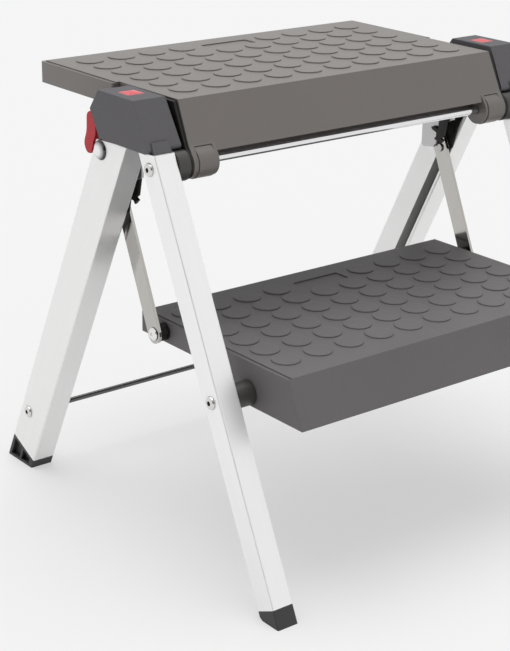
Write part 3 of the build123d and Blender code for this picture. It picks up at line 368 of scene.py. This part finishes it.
# ------------------------------------------------------------------ corner caps
# Hollow moulded heads whose spigots are pushed into the front legs' tops. Their dark grey is cooler and
# more matt than the treads'.
CAP_PLASTIC = (0.136, 0.132, 0.140)
CAP_ROUGHNESS = 0.6
CAP_SHINE = 0.1
finish_with(moulded("cap_plastic", CAP_PLASTIC, CAP_ROUGHNESS, shine=CAP_SHINE), *both("side_cap"))

# ------------------------------------------------------------------ cap markers
# Square red buttons with four low facets, moulded in glossy plastic.
# Each is glued in a seat on top of its cap.
MARKER_RED = (0.72, 0.055, 0.075)
MARKER_ROUGHNESS = 0.24
RED_GRAIN = 2600.0
finish_with(moulded("marker_red", MARKER_RED, MARKER_ROUGHNESS, grain=RED_GRAIN, depth=0.000005,
                    radius=0.0001, reach=0.0004), *both("cap_marker"))

# ------------------------------------------------------------------ release levers
# Glossy red moulded paddles that hang behind the caps, on plain steel pins inside them.
# Pressing one frees the latch on its side.
LEVER_RED = (0.50, 0.014, 0.026)
LEVER_ROUGHNESS = 0.30
LEVER_SHINE = 0.3
PIN_STEEL = (0.50, 0.50, 0.50)
PIN_ROUGHNESS = 0.34
finish_with(moulded("lever_red", LEVER_RED, LEVER_ROUGHNESS, grain=RED_GRAIN, depth=0.00002,
                    shine=LEVER_SHINE), *both("release_lever"))
plain_steel = drawn_metal("plain_steel", PIN_STEEL, 0, PIN_ROUGHNESS, spread=0.06)
finish_with(plain_steel, *both("lever_pin"))

# ------------------------------------------------------------------ rear leg pivots
# Each rear leg turns on a chromed mushroom-headed stud. The stud is pressed into a black plate with a
# window, which is held in the cap above.
DOME_RADIUS = 0.0094
DOME_TALL = 0.0042
DOME_RIM = 0.0005
DOME_RINGS = 9
STUD_RADIUS = 0.0046
STUD_CHROME = (0.86, 0.86, 0.87)
CHROME_ROUGHNESS = 0.07
# dark tone painted on the dome's rim, a painted reflection of a dark room
DOME_RIM_DARK = (0.08, 0.08, 0.08)
DOME_RIM_DARK_START = 0.95       # cosine of the dome's slope where the painted dark reflection starts, and where it is full
DOME_RIM_DARK_FULL = 0.74
BLACK_PLASTIC = (0.014, 0.013, 0.012)
BLACK_ROUGHNESS = 0.45
BLACK_SHINE = 0.3
TURNED_SIDES = 72
RIDGE_FOOT = 0.95          # a ridge's foot, as a share of its crest's radius
SHARP_TURN = radians(28)
black_plastic = moulded("black_plastic", BLACK_PLASTIC, BLACK_ROUGHNESS, grain=2200.0, depth=0.00003,
                        shine=BLACK_SHINE)
finish_with(black_plastic, *both("pivot_plate"))


def turned(name, node, body, rings, finish, bored=False):
    """Turned piece in place of a CAD fitting, on its axis and from its outer end inwards.

    A ring is its depth below the outer end, its radius and its outline: round, hex or ridged.
    A bored piece's last ring joins its first; the others are closed with flat ends."""
    low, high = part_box(node)
    outward = 1 if high.x > 0 else -1
    end = high.x if outward > 0 else low.x
    y, z = (low.y + high.y) / 2, (low.z + high.z) / 2
    made = bmesh.new()
    loops = []
    for depth, radius, outline in rings:
        loop = []
        for i in range(TURNED_SIDES):
            turn = 2 * pi * i / TURNED_SIDES
            reach = radius
            if outline == "hex":
                reach *= cos(pi / 6) / cos(turn % (pi / 3) - pi / 6)
            if outline == "ridged" and i % 2:
                reach *= RIDGE_FOOT
            loop.append(made.verts.new((end - outward * depth, y + reach * cos(turn), z + reach * sin(turn))))
        loops.append(loop)
    if bored:
        loops.append(loops[0])
    else:
        made.faces.new(loops[0])
        made.faces.new(loops[-1])
    for first, second in zip(loops, loops[1:]):
        for i in range(TURNED_SIDES):
            j = (i + 1) % TURNED_SIDES
            made.faces.new((first[i], first[j], second[j], second[i]))
    bmesh.ops.recalc_face_normals(made, faces=made.faces)
    mesh = bpy.data.meshes.new(name)
    made.to_mesh(mesh)
    made.free()
    mesh.shade_smooth()
    mesh.set_sharp_from_angle(angle=SHARP_TURN)
    mesh.materials.append(finish)
    piece = in_scene(name, mesh)
    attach(piece, body)
    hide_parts(node)


def length_of(node):
    """How far a node reaches across the stool."""
    low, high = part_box(node)
    return high.x - low.x


# a painted reflection: the plating is bright in the dome's middle and painted dark towards its rim
stud_chrome = drawn_metal("stud_chrome", STUD_CHROME, 0, CHROME_ROUGHNESS, contrast=0.01, spread=0.03)
tree = stud_chrome.node_tree
polish = tree.nodes["Principled BSDF"].inputs["Base Color"]
bright = polish.links[0].from_socket
place = shader_node(tree, "TexCoord")
parts = shader_node(tree, "SeparateXYZ", {"Vector": place.outputs["Normal"]})
level = shader_node(tree, "Math", {0: parts.outputs["X"]}, operation="ABSOLUTE")
rim = shader_node(tree, "MapRange", {"Value": level.outputs[0], "From Min": DOME_RIM_DARK_START,
                                     "From Max": DOME_RIM_DARK_FULL})
painted_rim_dark = shader_node(tree, "MixRGB", {"Fac": rim.outputs[0], "Color1": bright, "Color2": DOME_RIM_DARK + (1,)})
tree.links.new(painted_rim_dark.outputs[0], polish)

ball = (DOME_RADIUS ** 2 + DOME_TALL ** 2) / (2 * DOME_TALL)
dome = []
for ring in range(1, DOME_RINGS + 1):
    lean = asin(DOME_RADIUS / ball) * ring / DOME_RINGS
    dome.append((ball * (1 - cos(lean)), ball * sin(lean), "round"))
dome.append((DOME_TALL + DOME_RIM, DOME_RADIUS, "round"))
dome.append((DOME_TALL + DOME_RIM, STUD_RADIUS, "round"))
for side in ("left", "right"):
    stud_end = length_of(f"rear_pivot_{side}")
    turned(f"pivot_stud_{side}", f"rear_pivot_{side}", "front_frame",
           dome + [(stud_end, STUD_RADIUS, "round")], stud_chrome)

# ------------------------------------------------------------------ hinge rod, bosses and arms
# A chromed steel rod across the front carries the deck. Black moulded bosses fill the space from rod
# and step to the legs, and a flat black arm with a round end stands at each side of the deck.
CHROME = (0.82, 0.82, 0.83)
BOSS_PLASTIC = (0.052, 0.050, 0.048)
BOSS_ROUGHNESS = 0.45
chrome = drawn_metal("chrome", CHROME, 0, CHROME_ROUGHNESS, contrast=0.01, spread=0.03)
finish_with(chrome, "hinge_rod")
finish_with(moulded("boss_plastic", BOSS_PLASTIC, BOSS_ROUGHNESS), *both("hinge_boss"),
            *both("step_spacer"))
finish_with(black_plastic, *both("hinge_arm"))

# ------------------------------------------------------------------ hinge and step bolts
# Button-headed steel bolts with hexagon sockets, screwed from outside each front leg into the rod's
# end and into the lower step.
HEAD_RADIUS = 0.0064
HEAD_TALL = 0.0028
SHANK_RADIUS = 0.0036
THREAD_RADIUS = 0.0028
TUBE_WIDE = 0.0234
SOCKET_RADIUS = 0.0025
SOCKET_DEEP = 0.0020
BOLT_STEEL = (0.72, 0.71, 0.70)
BOLT_ROUGHNESS = 0.20
# socket from its floor out, its chamfer, the flat round it, and the rounded head
BUTTON_HEAD = [(SOCKET_DEEP, SOCKET_RADIUS, "hex"), (0.00025, SOCKET_RADIUS, "hex"),
               (0.00005, 0.0030, "round"), (0.0, 0.0033, "round"), (0.00022, 0.0044, "round"),
               (0.0007, 0.0053, "round"), (0.0013, 0.0059, "round"), (0.0020, 0.0063, "round"),
               (0.0024, HEAD_RADIUS, "round"), (HEAD_TALL, HEAD_RADIUS, "round")]
bolt_steel = drawn_metal("bolt_steel", BOLT_STEEL, 0, BOLT_ROUGHNESS, contrast=0.02, spread=0.05)
for side in ("left", "right"):
    for name in ("hinge_bolt", "step_bolt"):
        bolt_end = length_of(f"{name}_{side}")
        shank = [(HEAD_TALL, SHANK_RADIUS, "round"), (HEAD_TALL + TUBE_WIDE, SHANK_RADIUS, "round"),
                 (HEAD_TALL + TUBE_WIDE, THREAD_RADIUS, "round"), (bolt_end, THREAD_RADIUS, "round")]
        turned(f"{name}_turned_{side}", f"{name}_{side}", "front_frame", BUTTON_HEAD + shank, bolt_steel)

# ------------------------------------------------------------------ deck
# One moulding in warm dark grey plastic with ribs below, and its two clips round the hinge rod.
# Low round studs cover its top, in rows that leave room for the recess near the rear edge.
DECK_PLASTIC = (0.152, 0.136, 0.126)
DECK_ROUGHNESS = 0.40
DECK_SHINE = 0.75
DECK_FIRST_ROW = 0.0323    # rear row's centres to the rear edge
DECK_ROW_PITCH = 0.032
DISC_RADIUS = 0.014
DISC_TALL = 0.0011
DISC_SINK = 0.0003
DISC_RIM = ((0.0, 0.45), (0.00025, 0.8), (0.0007, 0.96), (0.0016, 1.0))  # run-in, and share of the height
DISC_PITCH_X = 0.0381
DISC_COLUMNS = 10
DISC_ROWS = 6
DISC_SIDES = 40


def grip_discs(name, body, tread, finish, first_row, row_pitch):
    """All the studs of one tread as one mesh. first_row is the rear row's distance from the rear edge."""
    low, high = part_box(tread)
    profile = [(DISC_RADIUS, -DISC_SINK)]
    profile += [(DISC_RADIUS - run_in, DISC_TALL * share) for run_in, share in DISC_RIM]
    turns = [2 * pi * i / DISC_SIDES for i in range(DISC_SIDES)]
    made = bmesh.new()
    for row in range(DISC_ROWS):
        y = high.y - first_row - row * row_pitch
        for column in range(DISC_COLUMNS):
            x = (column - (DISC_COLUMNS - 1) / 2) * DISC_PITCH_X
            if row == 0 and abs(x) < DISC_PITCH_X:
                continue
            rings = []
            for radius, rise in profile:
                rings.append([made.verts.new((x + radius * cos(turn), y + radius * sin(turn), high.z + rise))
                              for turn in turns])
            for lower, upper in zip(rings, rings[1:]):
                for i in range(DISC_SIDES):
                    j = (i + 1) % DISC_SIDES
                    made.faces.new((lower[i], lower[j], upper[j], upper[i])).smooth = True
            made.faces.new(rings[-1])
            made.faces.new(list(reversed(rings[0])))
    mesh = bpy.data.meshes.new(name)
    made.to_mesh(mesh)
    made.free()
    mesh.materials.append(finish)
    piece = in_scene(name, mesh)
    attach(piece, body)


deck_plastic = moulded("deck_plastic", DECK_PLASTIC, DECK_ROUGHNESS, shine=DECK_SHINE)
finish_with(deck_plastic, "deck", *both("hinge_clip"))
grip_discs("deck_discs", "deck", "deck", deck_plastic, DECK_FIRST_ROW, DECK_ROW_PITCH)

# ------------------------------------------------------------------ lower step
# A second moulding in a cooler and more matt plastic, with its own rows of studs. It is bolted to the
# front legs, and its rear corners hang on the links.
STEP_PLASTIC = (0.150, 0.142, 0.144)
STEP_ROUGHNESS = 0.50
STEP_SHINE = 0.25
STEP_FIRST_ROW = 0.0339
STEP_ROW_PITCH = 0.031
step_plastic = moulded("step_plastic", STEP_PLASTIC, STEP_ROUGHNESS, shine=STEP_SHINE)
finish_with(step_plastic, "lower_step")
grip_discs("step_discs", "lower_step", "lower_step", step_plastic, STEP_FIRST_ROW, STEP_ROW_PITCH)

# ------------------------------------------------------------------ latch under the deck
# Bent zinc-plated steel brackets hang under the deck, each with a black hook on a pin. The hook's claw
# catches the slot pin of the link beside it.
BRACKET_ZINC = (0.56, 0.56, 0.56)
BRACKET_ROUGHNESS = 0.45
finish_with(drawn_metal("bracket_zinc", BRACKET_ZINC, 0, BRACKET_ROUGHNESS), *both("latch_bracket"))
finish_with(black_plastic, *both("latch_hook"))
finish_with(plain_steel, *both("hook_pin"))

# ------------------------------------------------------------------ support links
# Bright steel bars that hold the step's rear corners. Each turns below on a rivet with a ridged black
# collar, and carries above the pin that the latch catches.
LINK_LEAN = radians(12)
LINK_STEEL = (0.50, 0.485, 0.46)
LINK_ROUGHNESS = 0.12
RIVET_RADIUS = 0.0066
RIVET_TALL = 0.0026
RIVET_HOLD = 0.012
COLLAR_RADIUS = 0.0086
COLLAR_EDGE = 0.0008
# dimple in the middle, and the rounded head
RIVET_HEAD = [(0.0009, 0.0015, "round"), (0.00015, 0.0019, "round"), (0.0, 0.0024, "round"),
              (0.0002, 0.0040, "round"), (0.0006, 0.0052, "round"), (0.0012, 0.0061, "round"),
              (0.0018, RIVET_RADIUS, "round"), (RIVET_TALL, RIVET_RADIUS, "round")]
finish_with(drawn_metal("link_steel", LINK_STEEL, LINK_LEAN, LINK_ROUGHNESS, spread=0.05), *both("link"))
finish_with(plain_steel, *both("slot_pin"))
for side in ("left", "right"):
    rivet_end = length_of(f"link_rivet_{side}")
    shank_end = rivet_end - RIVET_HOLD
    turned(f"rivet_{side}", f"link_rivet_{side}", "lower_step",
           RIVET_HEAD + [(RIVET_TALL, SHANK_RADIUS, "round"), (shank_end, SHANK_RADIUS, "round"),
                         (shank_end, THREAD_RADIUS, "round"), (rivet_end, THREAD_RADIUS, "round")],
           chrome)
    collar = length_of(f"link_spacer_{side}")
    turned(f"collar_{side}", f"link_spacer_{side}", "lower_step",
           [(0, COLLAR_RADIUS - COLLAR_EDGE, "round"), (COLLAR_EDGE, COLLAR_RADIUS, "ridged"),
            (collar - COLLAR_EDGE, COLLAR_RADIUS, "ridged"),
            (collar, COLLAR_RADIUS - COLLAR_EDGE, "round"), (collar, SHANK_RADIUS, "round"),
            (0, SHANK_RADIUS, "round")], black_plastic, bored=True)

# ------------------------------------------------------------------ rear crossbar
# A dark drawn steel rod between the rear legs, low down. A button-headed nut outside each leg
# holds its end.
BAR_STEEL = (0.14, 0.14, 0.14)
BAR_ROUGHNESS = 0.2
finish_with(drawn_metal("bar_steel", BAR_STEEL, 0, BAR_ROUGHNESS), "crossbar")
for side in ("left", "right"):
    turned(f"bar_nut_{side}", f"crossbar_nut_{side}", "rear_frame", BUTTON_HEAD, bolt_steel)
